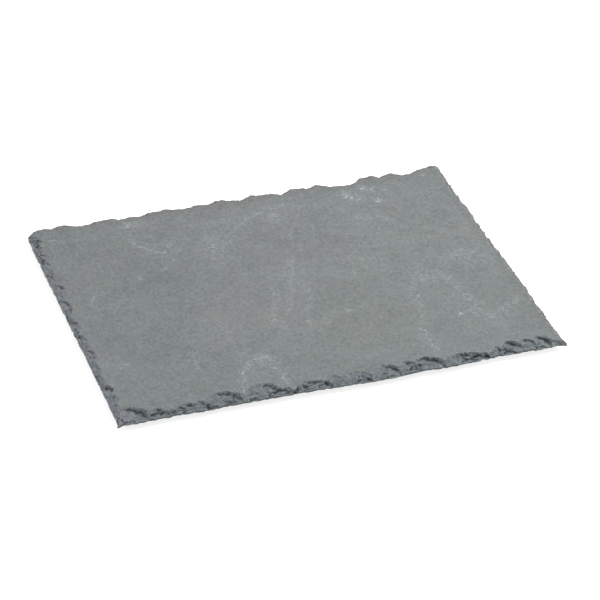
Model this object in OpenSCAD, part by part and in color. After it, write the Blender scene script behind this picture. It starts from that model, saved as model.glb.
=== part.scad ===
// Slate serving board: one riven slate slab with hand-dressed, flaked edges,
// standing on four self-adhesive rubber feet. Millimetres, +Z up, the origin
// on the table under the middle of the board.

/* [Slab] */
// Overall length of the slab
board_l = 400; // [240:5:600]
// Overall width of the slab
board_w = 300; // [160:5:400]
// Thickness of the slab
board_t = 5; // [4:0.25:8]

/* [Dressed edge] */
// Plan width of the bevel that runs all round the upper edge
bevel_w = 5; // [3:0.5:7]
// Length along the edge of the largest flake scar
scar_w = 40; // [20:1:48]
// How far the largest flake scar runs in from the edge
scar_depth = 20; // [12:1:22]
// Height of the steep wall at the head of a scar
scar_wall_h = 1.6; // [0.8:0.1:2]
// How far the outline of the most uneven side wanders in from a straight line
wander_depth = 10; // [0:0.5:10]
// Length that the broken back left corner takes off the back side
corner_cut_back = 16; // [4:0.5:20]
// Length that the broken back left corner takes off the left side
corner_cut_left = 11.5; // [4:0.5:20]
// Depth of the small nicks along the outline
nick_depth = 0.9; // [0:0.1:1.4]
// Distance between small nicks
nick_pitch = 7; // [5:0.5:12]
// Height of the outermost lip above the underside
lip_h = 2; // [1.2:0.1:2.2]
// How far the underside starts in from the lip
undercut_w = 0.8; // [0.3:0.1:1.6]

/* [Feet] */
// Diameter of a rubber foot
foot_d = 12.7; // [10:0.1:20]
// Height of a rubber foot, without its adhesive
foot_h = 3.5; // [2:0.1:6]
// Radius of the rounded lower rim of a foot
foot_round = 1; // [0.4:0.1:1.6]
// Distance from the slab's edges to the middle of a foot
foot_inset = 32; // [26:1:50]
// Diameter of the adhesive disc on a foot
adhesive_d = 11.7; // [8:0.1:12]
// Thickness of the adhesive disc
adhesive_t = 0.2; // [0.1:0.05:0.5]

/* [Hidden] */

slate_colour = "#8a908f";
rubber_colour = "#202224";
adhesive_colour = "#cfc9b4";

// Facets of a full circle
round_n = 64;

// Underside of the slab above the table
slab_z = foot_h + adhesive_t;

// The sides run anticlockwise seen from above: front, right, back, left
side_l = [board_l, board_w, board_l, board_w];
side_bevel_shares = [0.7, 1, 0.5, 1.6];

// Number of points wanted round the edge, which sets their spacing along each side
edge_point_goal = 388;
edge_step = 2 * (board_l + board_w) / edge_point_goal;
side_n = [for (l = side_l) round(l / edge_step)];

// A smaller board wanders less, so that its outline is no steeper
wander_most_share = 0.025;
wander_d = min(wander_depth, wander_most_share * board_l);

// The flaked band is wider than its longest scar and than twice the wander, which
// fades out over it, and its rings lie at shares of its width
band_share = 1.1;
wander_room_share = 2;
band_w = max(band_share * scar_depth, wander_room_share * wander_d);
ring_shares = [0, 0.05, 0.12, 0.2, 0.3, 0.42, 0.56, 0.75, 1];

// Flake scars of each side: place along the side as a share of its length,
// half length as a share of half scar_w, reach inwards as a share of scar_depth,
// and height of its wall as a share of scar_wall_h
scar_shares = [
    [[0.03, 0.93, 1.0, 1.4], [0.087, 0.65, 0.55, 0.9], [0.15, 0.45, 0.5, 0.8],
     [0.18, 0.5, 0.55, 1.0], [0.19, 0.45, 0.3, 1.3], [0.232, 0.9, 0.95, 1.4],
     [0.318, 0.95, 1.0, 1.1], [0.35, 0.65, 0.4, 1.5], [0.422, 0.85, 0.52, 1.0],
     [0.47, 0.7, 0.65, 0.4], [0.518, 0.75, 0.38, 1.6], [0.522, 0.9, 0.7, 0.4],
     [0.588, 0.75, 0.78, 1.5], [0.638, 0.5, 0.72, 1.1], [0.678, 1.0, 0.82, 1.7],
     [0.757, 0.9, 0.57, 1.8], [0.78, 0.7, 0.45, 1.8], [0.84, 0.3, 0.6, 0.8],
     [0.85, 0.55, 0.32, 1.5], [0.875, 0.62, 0.8, 1.3], [0.912, 0.5, 0.77, 0.9],
     [0.938, 0.7, 0.8, 1.5]],
    [[0.05, 0.5, 0.36, 0.5], [0.13, 0.7, 0.5, 0.8], [0.21, 0.45, 0.34, 0.4],
     [0.28, 0.8, 0.45, 0.7], [0.37, 0.5, 0.38, 0.5], [0.45, 0.7, 0.52, 0.8],
     [0.54, 0.55, 0.36, 0.4], [0.63, 0.8, 0.47, 0.7], [0.72, 0.45, 0.38, 0.5],
     [0.8, 0.75, 0.5, 0.8], [0.89, 0.5, 0.38, 0.4], [0.96, 0.5, 0.4, 0.6]],
    [[0.03, 0.5, 0.36, 0.6], [0.08, 0.5, 0.42, 0.9], [0.138, 0.5, 0.27, 0.5],
     [0.24, 0.75, 0.6, 1.0], [0.325, 0.35, 0.32, 0.5], [0.393, 0.4, 0.42, 0.8],
     [0.493, 0.45, 0.38, 0.6], [0.588, 0.6, 0.3, 0.9], [0.643, 0.7, 0.32, 0.5],
     [0.728, 0.3, 0.38, 0.8], [0.778, 0.4, 0.38, 0.6], [0.868, 0.6, 0.4, 0.9],
     [0.94, 0.4, 0.35, 0.5], [0.99, 0.5, 0.5, 0.8]],
    [[0.023, 0.4, 0.5, 0.8], [0.083, 0.4, 0.6, 1.1], [0.207, 0.6, 0.4, 0.9],
     [0.293, 0.5, 0.45, 0.6], [0.333, 0.45, 0.55, 1.4], [0.427, 0.7, 0.5, 1.2],
     [0.527, 0.6, 0.4, 0.8], [0.593, 0.45, 0.45, 0.6], [0.667, 0.55, 0.48, 1.0],
     [0.75, 0.65, 0.4, 0.6], [0.837, 0.45, 0.55, 1.4], [0.883, 0.4, 0.5, 0.9],
     [0.943, 0.45, 0.45, 0.7]]];

// Wander of the outline: place along the side, and depth inwards as a share of
// the side's own share of wander_d
side_wander_shares = [0.3, 0.3, 1, 0.3];
wander_shares = [
    [[0, 0.7], [0.07, 0.75], [0.135, 1], [0.19, 0.6], [0.25, 1], [0.32, 0.9], [0.44, 0.75], [0.53, 0.15],
     [0.6, 0], [0.66, 0.75], [0.72, 0.4], [0.78, 0.5], [0.83, 0.95], [0.9, 0.9], [1, 0.7]],
    [[0, 0.2], [0.1, 0.4], [0.2, 0.3], [0.3, 0], [0.4, 0.1], [0.5, 0.25], [0.6, 0.35], [0.7, 0.05],
     [0.8, 0.3], [0.9, 0.15], [1, 0.6]],
    [[0, 0.1], [0.015, 0], [0.055, 0.3], [0.075, 0.75], [0.095, 0.65], [0.12, 0.1], [0.15, 0.45],
     [0.19, 0], [0.22, 0.8], [0.235, 0.95], [0.28, 0.65], [0.305, 0.15], [0.33, 0.45], [0.365, 0.05],
     [0.395, 0.75], [0.415, 0.35], [0.44, 0.3], [0.465, 0.1], [0.495, 0.65], [0.55, 0], [0.565, 0.45],
     [0.59, 0.3], [0.63, 0.55], [0.67, 0.25], [0.71, 0.25], [0.73, 0.6], [0.765, 0.5], [0.785, 0.6],
     [0.8, 0.35], [0.83, 0.3], [0.87, 0.65], [0.91, 0.2], [0.928, 0.25], [0.942, 0.5], [0.96, 0.1],
     [0.975, 0.2], [1, 0.1]],
    [[0, 0.2], [0.05, 0.1], [0.3, 0], [0.5, 0.12], [0.75, 0.1], [1, 0]]];

// A number from 0 to 1 that looks random but is always the same for k and salt
hash_turn = 127.1;
hash_salt_turn = 311.7;
hash_gain = 43758.5453;
function hash(k, salt) = let (v = sin(k * hash_turn + salt * hash_salt_turn) * hash_gain) v - floor(v);

// 0 below 0, 1 above 1, and an S-shaped rise between
function ease(v) = let (c = max(0, min(1, v))) c * c * (3 - 2 * c);

// Smooth noise from 0 to 1 along a line
function noise(v, salt) =
    let (k = floor(v), s = ease(v - k)) hash(k, salt) * (1 - s) + hash(k + 1, salt) * s;

// The middle of each side's outward line, its direction and the way inwards
function side_dir(i) = [[1, 0], [0, 1], [-1, 0], [0, -1]][i];
function side_in(i) = [[0, 1], [-1, 0], [0, -1], [1, 0]][i];
function side_gap(i) = (i % 2 == 0 ? board_w : board_l) / 2;

// Distance of the plan point p in from side i, and along it from its first corner
function reach(p, i) = p * side_in(i) + side_gap(i);
function along(p, i) = p * side_dir(i) + side_l[i] / 2;

// Height above the underside left by one scar with a wall wall_h high, where u
// runs from -1 to 1 along it and v from 0 on the edge to 1 at its head: a floor
// that sinks towards u = 1 and drops to the lip near the edge, and a steep wall
// round its outer share. Its outline |u|^b + v^b = 1, b being outline_bend, lies
// between straight sides and an ellipse
outline_bend = 1.6;
wall_start_share = 0.84;
wall_bend = 1.5;
floor_bend = 3;
sunk_low_share = 0.1;
sunk_start = -0.8;
sunk_run = 1.3;
function scar_z(u, v, wall_h) =
    let (r = pow(pow(abs(u), outline_bend) + pow(max(0, v), outline_bend), 1 / outline_bend),
         sunk_share = sunk_low_share + (1 - sunk_low_share) * ease((u - sunk_start) / sunk_run),
         head_z = board_t - min(wall_h, board_t / 2) * sunk_share,
         floor_z = head_z - (head_z - lip_h) * pow(1 - max(0, min(1, v)), floor_bend),
         wall = pow(max(0, (r - wall_start_share) / (1 - wall_start_share)), wall_bend))
    r >= 1 ? board_t : floor_z + (board_t - floor_z) * wall;

// Height left by every scar of side i at the plan point p. Along the side, scars
// sink forwards on the front and the right, and backwards on the back and the left
function scar_way(i) = i < 2 ? 1 : -1;
function side_scars_z(p, i) =
    let (a = along(p, i), v = reach(p, i))
    min([for (s = scar_shares[i])
        let (u = scar_way(i) * (a - s[0] * side_l[i]) / (s[1] * scar_w / 2))
        abs(u) < 1 ? scar_z(u, v / (s[2] * scar_depth), s[3] * scar_wall_h) : board_t]);

// Height left by the plain bevel of side i, whose width wavers along the edge
// between bevel_low_share of its share of bevel_w and that plus one
bevel_low_share = 0.5;
function bevel_z(p, i) =
    let (waver = bevel_low_share + noise(along(p, i) / nick_pitch / 2, i),
         w = bevel_w * side_bevel_shares[i] * waver)
    lip_h + (board_t - lip_h) * max(0, min(1, reach(p, i) / w));

// Height of the upper surface above the underside at the plan point p
function face_z(p) = min([for (i = [0:3]) min(side_scars_z(p, i), bevel_z(p, i))]);

// How far the outline lies in from the straight line, a along side i
nick_salt = 10;
function wander(a, i) =
    wander_d * side_wander_shares[i] * lookup(a / side_l[i], wander_shares[i])
    + nick_depth * noise(a / nick_pitch * 2, i + nick_salt) * ease(min(a, side_l[i] - a) / nick_pitch);

// The plan point at share t of side i on a rectangle d inside the outline
function ring_point(i, t, d) =
    side_dir(i) * (t - 0.5) * (side_l[i] - 2 * d) - side_in(i) * (side_gap(i) - d);

// The plan point p with the back left corner pressed in to the slanting line of
// the break: points beyond the line end within corner_rim of it, and inside the
// line the press fades out over corner_fade
corner_fade_share = 0.65;
corner_fade = corner_fade_share * band_w;
corner_rim_share = 0.06;
corner_rim = corner_rim_share * band_w;
fade_bend = 3;
function cornered(p) =
    let (slant = norm([corner_cut_left, corner_cut_back]),
         out = [-corner_cut_left, corner_cut_back] / slant,
         beyond = (p - [corner_cut_back - board_l / 2, board_w / 2]) * out,
         most = corner_cut_back * corner_cut_left / slant,
         pressed = beyond > 0 ? corner_rim * (beyond / most - 1)
                              : beyond - corner_rim * pow(max(0, 1 + beyond / corner_fade), fade_bend))
    p + (pressed - beyond) * out;

// The same point moved in by the wander of both sides, which fades out over the
// band, and by the broken corner
function plan_point(i, t, d) =
    let (p = ring_point(i, t, d), fade = 1 - ease(d / band_w),
         nxt = (i + 1) % 4, prv = (i + 3) % 4,
         near_next = ease(1 - (1 - t) * side_l[i] / band_w),
         near_last = ease(1 - t * side_l[i] / band_w))
    cornered(p + fade * (side_in(i) * wander(t * side_l[i], i)
        + side_in(nxt) * wander(0, nxt) * near_next
        + side_in(prv) * wander(side_l[prv], prv) * near_last));

// Every place round the edge as [side, share along it]
places = [for (i = [0:3]) for (k = [0:side_n[i] - 1]) [i, k / side_n[i]]];
place_n = len(places);

// The ring of the upper surface that lies d inside the outline
function ring_points(d) = [for (q = places)
    let (p = plan_point(q[0], q[1], d), z = d >= band_w ? board_t : face_z(ring_point(q[0], q[1], d)))
    [p[0], p[1], z]];

// The ring of the underside, in from the lip by a ragged undercut, which is
// between undercut_low_share of undercut_w and all of it
undercut_low_share = 0.4;
undercut_salt = 20;
function base_ring() = [for (q = places)
    let (ragged = noise(q[1] * side_l[q[0]] / nick_pitch, q[0] + undercut_salt),
         d = undercut_w * (undercut_low_share + (1 - undercut_low_share) * ragged),
         p = plan_point(q[0], q[1], d))
    [p[0], p[1], 0]];

// The ring of the underside that lies where the wander has faded out
function sole_ring() = [for (q = places) let (p = plan_point(q[0], q[1], band_w)) [p[0], p[1], 0]];

// Triangles between ring r and ring r + 1, and from ring r to the point hub
function band_faces(r) = [for (j = [0:place_n - 1])
    let (k = (j + 1) % place_n, a = r * place_n + j, b = r * place_n + k, c = a + place_n, e = b + place_n)
    each [[a, e, b], [a, c, e]]];
function fan_faces(r, hub, up) = [for (j = [0:place_n - 1])
    let (a = r * place_n + j, b = r * place_n + (j + 1) % place_n) up ? [a, hub, b] : [b, hub, a]];

// The slab is one skin: underside, lip, flaked band and flat upper face
module slate_slab() {
    rings = [sole_ring(), base_ring(), for (s = ring_shares) ring_points(s * band_w)];
    last = len(rings) - 1;
    hub = len(rings) * place_n;
    points = [for (r = rings) each r, [0, 0, 0], [0, 0, board_t]];
    faces = [each fan_faces(0, hub, false), for (r = [0:last - 1]) each band_faces(r),
             each fan_faces(last, hub + 1, true)];
    color(slate_colour)
    translate([0, 0, slab_z])
    polyhedron(points, faces, convexity = 4);
}

// Corner of the feet: -1 or 1 along X and along Y
module at_corner(x, y) {
    translate([x * (board_l / 2 - foot_inset), y * (board_w / 2 - foot_inset), 0]) children();
}

// Rubber foot: a short round post whose lower rim is rounded
module foot(x, y) {
    rim = foot_d / 2 - foot_round;
    color(rubber_colour)
    at_corner(x, y)
    rotate_extrude($fn = round_n) {
        square([rim, foot_h]);
        translate([0, foot_round]) square([foot_d / 2, foot_h - foot_round]);
        intersection() {
            translate([rim, foot_round]) circle(r = foot_round, $fn = round_n);
            square([foot_d / 2, foot_round]);
        }
    }
}

// Adhesive disc between a foot and the slab
module adhesive(x, y) {
    color(adhesive_colour)
    at_corner(x, y)
    translate([0, 0, foot_h]) cylinder(d = adhesive_d, h = adhesive_t, $fn = round_n);
}

slate_slab();
foot(-1, -1);  // foot_front_left
foot(1, -1);  // foot_front_right
foot(1, 1);  // foot_back_right
foot(-1, 1);  // foot_back_left
adhesive(-1, -1);  // adhesive_front_left
adhesive(1, -1);  // adhesive_front_right
adhesive(1, 1);  // adhesive_back_right
adhesive(-1, 1);  // adhesive_back_left
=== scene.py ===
"""Slate serving board: one riven slate slab with hand-dressed edges, on four stick-on rubber feet.

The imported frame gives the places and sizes. Lengths in this script are millimetres,
and each mesh is turned into metres when it is made.
"""

import itertools
import math

import bpy
import numpy as np
from mathutils import Matrix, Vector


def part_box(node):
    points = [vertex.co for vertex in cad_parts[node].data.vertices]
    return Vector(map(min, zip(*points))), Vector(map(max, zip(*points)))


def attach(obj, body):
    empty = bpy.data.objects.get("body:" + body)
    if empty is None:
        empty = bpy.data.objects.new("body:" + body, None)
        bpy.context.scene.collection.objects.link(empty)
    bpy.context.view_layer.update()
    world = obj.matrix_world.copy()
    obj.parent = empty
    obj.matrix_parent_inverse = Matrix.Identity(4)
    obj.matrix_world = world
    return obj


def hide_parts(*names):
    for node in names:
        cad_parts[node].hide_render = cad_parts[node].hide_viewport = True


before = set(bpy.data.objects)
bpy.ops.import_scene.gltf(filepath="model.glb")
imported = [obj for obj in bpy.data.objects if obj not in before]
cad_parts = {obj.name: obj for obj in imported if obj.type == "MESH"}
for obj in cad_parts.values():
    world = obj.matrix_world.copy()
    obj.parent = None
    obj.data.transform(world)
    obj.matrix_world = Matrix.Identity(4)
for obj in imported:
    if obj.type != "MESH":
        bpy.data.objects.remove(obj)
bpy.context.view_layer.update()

MM = 0.001

# Sizes taken from the frame
slab_low, slab_high = (np.array(corner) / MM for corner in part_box("slate_slab"))
slab_z = slab_low[2]
board_t = slab_high[2] - slab_low[2]

# The outline before its edge wanders, and the sizes of the dressed edge
board_l = 400.0
board_w = 300.0
bevel_w = 5.0
scar_w = 40.0
scar_depth = 20.0
scar_wall_h = 1.6
wander_depth = 10.0
nick_depth = 0.9
nick_pitch = 7.0
lip_h = 2.0
undercut_w = 0.8
fade_w = max(1.1 * scar_depth, 2 * wander_depth)

# The sides run anticlockwise seen from above: front, right, back, left
SIDE_DIR = np.array([[1, 0], [0, 1], [-1, 0], [0, -1]], float)
SIDE_IN = np.array([[0, 1], [-1, 0], [0, -1], [1, 0]], float)
side_l = np.array([board_l, board_w, board_l, board_w])
side_gap = np.array([board_w, board_l, board_w, board_l]) / 2
side_bevel_shares = [0.7, 1, 0.5, 1.6]

# Flake scars of each side: place along the side as a share of its length,
# half length as a share of half scar_w, reach inwards as a share of scar_depth, and
# height of its wall as a share of scar_wall_h
scar_shares = [
    [[0.03, 0.93, 1.0, 1.4], [0.087, 0.65, 0.55, 0.9], [0.15, 0.45, 0.5, 0.8],
     [0.18, 0.5, 0.55, 1.0], [0.19, 0.45, 0.3, 1.3], [0.232, 0.9, 0.95, 1.4],
     [0.318, 0.95, 1.0, 1.1], [0.35, 0.65, 0.4, 1.5], [0.422, 0.85, 0.52, 1.0],
     [0.47, 0.7, 0.65, 0.4], [0.518, 0.75, 0.38, 1.6], [0.522, 0.9, 0.7, 0.4],
     [0.588, 0.75, 0.78, 1.5], [0.638, 0.5, 0.72, 1.1], [0.678, 1.0, 0.82, 1.7],
     [0.757, 0.9, 0.57, 1.8], [0.78, 0.7, 0.45, 1.8], [0.84, 0.3, 0.6, 0.8],
     [0.85, 0.55, 0.32, 1.5], [0.875, 0.62, 0.8, 1.3], [0.912, 0.5, 0.77, 0.9],
     [0.938, 0.7, 0.8, 1.5]],
    [[0.05, 0.5, 0.36, 0.5], [0.13, 0.7, 0.5, 0.8], [0.21, 0.45, 0.34, 0.4],
     [0.28, 0.8, 0.45, 0.7], [0.37, 0.5, 0.38, 0.5], [0.45, 0.7, 0.52, 0.8],
     [0.54, 0.55, 0.36, 0.4], [0.63, 0.8, 0.47, 0.7], [0.72, 0.45, 0.38, 0.5],
     [0.8, 0.75, 0.5, 0.8], [0.89, 0.5, 0.38, 0.4], [0.96, 0.5, 0.4, 0.6]],
    [[0.03, 0.5, 0.36, 0.6], [0.08, 0.5, 0.42, 0.9], [0.138, 0.5, 0.27, 0.5],
     [0.24, 0.75, 0.6, 1.0], [0.325, 0.35, 0.32, 0.5], [0.393, 0.4, 0.42, 0.8],
     [0.493, 0.45, 0.38, 0.6], [0.588, 0.6, 0.3, 0.9], [0.643, 0.7, 0.32, 0.5],
     [0.728, 0.3, 0.38, 0.8], [0.778, 0.4, 0.38, 0.6], [0.868, 0.6, 0.4, 0.9],
     [0.94, 0.4, 0.35, 0.5], [0.99, 0.5, 0.5, 0.8]],
    [[0.023, 0.4, 0.5, 0.8], [0.083, 0.4, 0.6, 1.1], [0.207, 0.6, 0.4, 0.9],
     [0.293, 0.5, 0.45, 0.6], [0.333, 0.45, 0.55, 1.4], [0.427, 0.7, 0.5, 1.2],
     [0.527, 0.6, 0.4, 0.8], [0.593, 0.45, 0.45, 0.6], [0.667, 0.55, 0.48, 1.0],
     [0.75, 0.65, 0.4, 0.6], [0.837, 0.45, 0.55, 1.4], [0.883, 0.4, 0.5, 0.9],
     [0.943, 0.45, 0.45, 0.7]]]

# Wander of the outline: place along the side, and depth inwards as a share of the side's own
# share of wander_depth
side_wander_shares = [0.3, 0.3, 1, 0.3]
wander_shares = [
    [[0, 0.7], [0.07, 0.75], [0.135, 1], [0.19, 0.6], [0.25, 1], [0.32, 0.9], [0.44, 0.75], [0.53, 0.15],
     [0.6, 0], [0.66, 0.75], [0.72, 0.4], [0.78, 0.5], [0.83, 0.95], [0.9, 0.9], [1, 0.7]],
    [[0, 0.2], [0.1, 0.4], [0.2, 0.3], [0.3, 0], [0.4, 0.1], [0.5, 0.25], [0.6, 0.35], [0.7, 0.05],
     [0.8, 0.3], [0.9, 0.2], [0.95, 0.2], [0.97, 0], [0.985, 0], [1, 0.9]],
    [[0, 0.1], [0.015, 0], [0.055, 0.3], [0.075, 0.75], [0.095, 0.65], [0.12, 0.1], [0.15, 0.45], [0.19, 0],
     [0.22, 0.8], [0.235, 0.95], [0.28, 0.65], [0.305, 0.15], [0.33, 0.45], [0.365, 0.05], [0.395, 0.75],
     [0.415, 0.35], [0.44, 0.3], [0.465, 0.1], [0.495, 0.65], [0.55, 0], [0.565, 0.45], [0.59, 0.3],
     [0.63, 0.55], [0.67, 0.25], [0.71, 0.25], [0.73, 0.6], [0.765, 0.5], [0.785, 0.6], [0.8, 0.35],
     [0.83, 0.3], [0.87, 0.65], [0.91, 0.2], [0.928, 0.25], [0.942, 0.5], [0.96, 0.1], [0.975, 0.2],
     [1, 0.1]],
    [[0, 0.2], [0.05, 0.1], [0.3, 0], [0.5, 0.12], [0.75, 0.1], [1, 0]]]

# Corner knocked off at the back left: how far along its two sides and inwards, and the rim that is left
corner_cut_back = 16.0
corner_cut_left = 11.5
corner_fade = 0.65 * fade_w
corner_rim = 1.3

# Camera, in the photograph's frame of 600 by 600 pixels
IMAGE_SIDE = 600
CAMERA_AZIMUTH = -21.274
CAMERA_ELEVATION = 34.964
CAMERA_ROLL = 2.773
CAMERA_DISTANCE = 2387.0
CAMERA_FOCAL = 2750.6
CAMERA_TARGET = np.array([3.2, -18.2, slab_z])
SENSOR_W = 36.0


def stand(name, data, right, back, place):
    """An object for a camera or lamp at a place in millimetres, with its x and z axes to right and back."""
    matrix = np.identity(4)
    matrix[:3, :3] = np.stack([right, np.cross(back, right), back], axis=1)
    matrix[:3, 3] = place * MM
    made = bpy.data.objects.new(name, data)
    made.matrix_world = Matrix(matrix.tolist())
    bpy.context.scene.collection.objects.link(made)
    return made


def make_camera():
    """The photograph's view: a long lens on a line through the target, turned a little round that line."""
    azimuth, elevation, roll = (math.radians(a) for a in (CAMERA_AZIMUTH, CAMERA_ELEVATION, CAMERA_ROLL))
    back = np.array([math.sin(azimuth) * math.cos(elevation),
                     -math.cos(azimuth) * math.cos(elevation),
                     math.sin(elevation)])
    level = np.array([math.cos(azimuth), math.sin(azimuth), 0.0])
    right = level * math.cos(roll) + np.cross(back, level) * math.sin(roll)
    camera = bpy.data.cameras.new("camera")
    camera.sensor_width = SENSOR_W
    camera.lens = CAMERA_FOCAL / IMAGE_SIDE * SENSOR_W
    camera.clip_end = 100
    bpy.context.scene.camera = stand("camera", camera, right, back, CAMERA_TARGET + back * CAMERA_DISTANCE)


# Shapes of numbers

# The hash of the solid's edge, and for patterns of the plane the kinds of cell, the gain of the slopes and
# how much the bottoms of hollows differ
HASH_STEP = 127.1
HASH_SALT_STEP = 311.7
HASH_GAIN = 43758.5453
CELL_KINDS = 256
SLOPE_GAIN = 1.6
BOTTOM_SPREAD = 0.45


def ease(v):
    """0 below 0, 1 above 1, and the S-shaped rise 3v^2 - 2v^3 between."""
    c = np.clip(v, 0, 1)
    return c * c * (3 - 2 * c)


def hash_number(k, salt):
    """The number from 0 to 1 that the solid's edge uses: the fraction of a large multiple of a sine."""
    v = np.sin(np.radians(k * HASH_STEP + salt * HASH_SALT_STEP)) * HASH_GAIN
    return v - np.floor(v)


def line_noise(v, salt):
    """Smooth noise from 0 to 1 along a line, eased between the hash numbers of whole steps."""
    k = np.floor(v)
    s = ease(v - k)
    return hash_number(k, salt) * (1 - s) + hash_number(k + 1, salt) * s


def cell_kind(order, i, j):
    """The kind of the cell in column i and row j, by a shuffled order of the kinds."""
    return order[(i + order[j % CELL_KINDS]) % CELL_KINDS]


def plane_noise(x, y, size, seed, octaves=1):
    """Gradient noise from about -1 to 1: slopes at the corners of a grid, size apart, eased from corner to
    corner. Each further octave halves size and height."""
    total = np.zeros(np.shape(x))
    gain, weight = 1.0, 0.0
    for octave in range(octaves):
        rng = np.random.default_rng([seed, octave])
        order, turn = rng.permutation(CELL_KINDS), rng.uniform(0, 2 * math.pi, CELL_KINDS)
        u, v = x / size, y / size
        i, j = np.floor(u).astype(int), np.floor(v).astype(int)
        fu, fv = u - i, v - j

        def corner(di, dj):
            angle = turn[cell_kind(order, i + di, j + dj)]
            return np.cos(angle) * (fu - di) + np.sin(angle) * (fv - dj)

        su = ease(fu)
        low = corner(0, 0) * (1 - su) + corner(1, 0) * su
        high = corner(0, 1) * (1 - su) + corner(1, 1) * su
        total += SLOPE_GAIN * gain * (low + (high - low) * ease(fv))
        weight += gain
        size, gain = size / 2, gain / 2
    return total / weight


def noise_sum(x, y, layers, shift=0):
    """Sum of plane noises: each layer gives height, size, seed and octaves, and seeds get the shift added."""
    return sum(height * plane_noise(x, y, size, seed + shift, octaves)
               for height, size, seed, octaves in layers)


def warped(x, y, amount, size, seed):
    """The plan with x and then y moved by up to the amount, in lumps of size."""
    x = x + amount * plane_noise(x, y, size, seed, 3)
    y = y + amount * plane_noise(x, y, size, seed + 1, 3)
    return x, y


def hollows(x, y, size, seed):
    """Round hollows with crisp ridges between them, from 0 at a hollow's bottom to 1: the lowest of the bowls
    level + distance^2 / size^2 round points scattered one to a cell."""
    rng = np.random.default_rng(seed)
    order = rng.permutation(CELL_KINDS)
    shift_x, shift_y, level = rng.uniform(0, 1, (3, CELL_KINDS))
    i, j = np.floor(x / size).astype(int), np.floor(y / size).astype(int)
    lowest = np.ones(np.shape(x))
    for di in (-1, 0, 1):
        for dj in (-1, 0, 1):
            k = cell_kind(order, i + di, j + dj)
            far_x, far_y = x / size - i - di - shift_x[k], y / size - j - dj - shift_y[k]
            lowest = np.minimum(lowest, BOTTOM_SPREAD * level[k] + far_x ** 2 + far_y ** 2)
    return lowest


def outline_reach(u, w, bend):
    """Less than 1 inside the outline |u|^bend + w^bend = 1, and more outside it. A w below 0 counts as 0."""
    return (np.abs(u) ** bend + np.clip(w, 0, None) ** bend) ** (1 / bend)


# The slab's surface, as heights above its underside

# Each table of four holds one value for each side
CHIPS_PER_SIDE = [95, 65, 90, 70]
CRUMB_DEPTH = [1.3, 0.9, 0.7, 0.4]
TOOTH_DEPTH = [0.0, 1.9, 0.0, 0.0]
SEAM_DEPTH = [1.3, 0.5, 0.6, 0.9]

# Scars: the way along the side in which they deepen, their walls and reaches as shares of the tables',
# and the power by which their floors drop to the lip
CRISP_WAY = [1, 1, -1, -1]
WALL_SHARES = [1.24, 0.3, 0.5, 0.75]
REACH_SHARES = [1.1, 1.0, 1.0, 1.0]
DROP_POWERS = [2.3, 3, 3, 1.3]

# Brown-grey stain of the rim: how strong at the lip, and how far inwards it fades out
STAIN_SHARES = np.array([0.0, 0.62, 0.7, 0.0])
STAIN_W = np.array([10.0, 13.0, 20.0, 10.0])

# Deep ledges, whose walls stand in shadow: place along the side, half length, reach and level of the floor
LEDGES = [[(10, 6, 3.0, 1.0), (82, 6, 3.6, 1.1), (118, 5, 3.4, 1.2), (148, 8, 4.2, 1.1),
           (180, 8, 6.2, 1.4), (214, 9, 4.8, 1.2), (240, 5, 2.6, 1.0), (314, 14, 7.4, 1.1),
           (322, 8, 5.0, 0.9), (347, 8, 3.4, 1.0), (376, 6, 3.2, 1.2)],
          [], [],
          [(60, 7, 2.4, 2.0), (98, 6, 6.6, 3.1), (127, 9, 4.6, 2.3), (160, 5, 3.0, 2.0),
           (199, 8, 4.4, 2.5), (251, 6, 6.2, 2.9), (270, 5, 3.2, 2.1)]]

# Outline: crumbs, as line noises of a weight, size and salt, and how far apart the teeth are
CRUMBS = [(0.65, 1.9, 30), (0.35, 0.95, 40)]
TOOTH_PITCH = 16.0

# Warps of the plan along the side and across it, and how far the lip rises and sinks
ALONG_WARP = [(2.0, 12, 10, 2), (0.8, 3.2, 20, 1)]
ACROSS_WARP = [(1.6, 10, 30, 2), (0.7, 2.9, 40, 1)]
LIP_SPREAD = 1.0

# Form of a scar: ranges of its outline's power and of where its floor starts to sink, length of the
# descent, share of the depth that it has before, and where and with what curve its wall rises
SCAR_BENDS = (1.3, 2.3)
SINK_STARTS = (-1.0, -0.5)
SINK_L = 1.2
SHALLOW_SHARE = 0.2
WALL_START_SHARE = 0.88
WALL_LEAN_SHARE = 0.13
WALL_POWER = 1.2

# Small chips: ranges of half length, of reach to half length, and of wall height
CHIP_HALVES = (2, 7)
CHIP_REACHES = (0.7, 1.4)
CHIP_LEAST_REACH = 1.5
CHIP_WALLS = (0.3, 1.3)

# The front right tip, with its thinner lip and wider bevel
TIP_L = 14.0
TIP_THINNER_SHARE = 0.55
TIP_WIDER_SHARE = 0.8

# Sheets of the broken stone: thickness, waver, the share of each step that is level, and how stepped the
# stone is on average and from place to place
SHEET_T = 0.85
SHEET_WAVER = [(0.42, 14, 60, 2), (0.22, 3.4, 61, 1)]
LEVEL_SHARE = 0.7
STEPPED_SHARE = 0.65
STEPPED_WAVER = [(0.3, 22, 64, 1)]

# Crags of the broken stone: height, size and seed of each kind of hollow, their middle level, the width
# of the rim where they are whole and over which they fade, and what is left of them further in. Then the
# broken stone's grain, and its least thickness.
CRAGS = [(0.5, 5.2, 62), (0.13, 2.3, 63)]
CRAG_LEVEL = 0.35
CRAG_RIM = (2, 10)
INNER_CRAG_SHARE = 0.3
BROKEN_GRAIN = [(0.07, 2.2, 70, 2)]
LEAST_T = 0.9

# Relief of the split faces, long swells and ripples, and how far it lies below the flat face in the mean
RIVEN = [(0.13, 90, 0, 3), (0.035, 9, 1, 2)]
RIVEN_DROP = 0.18


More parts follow.
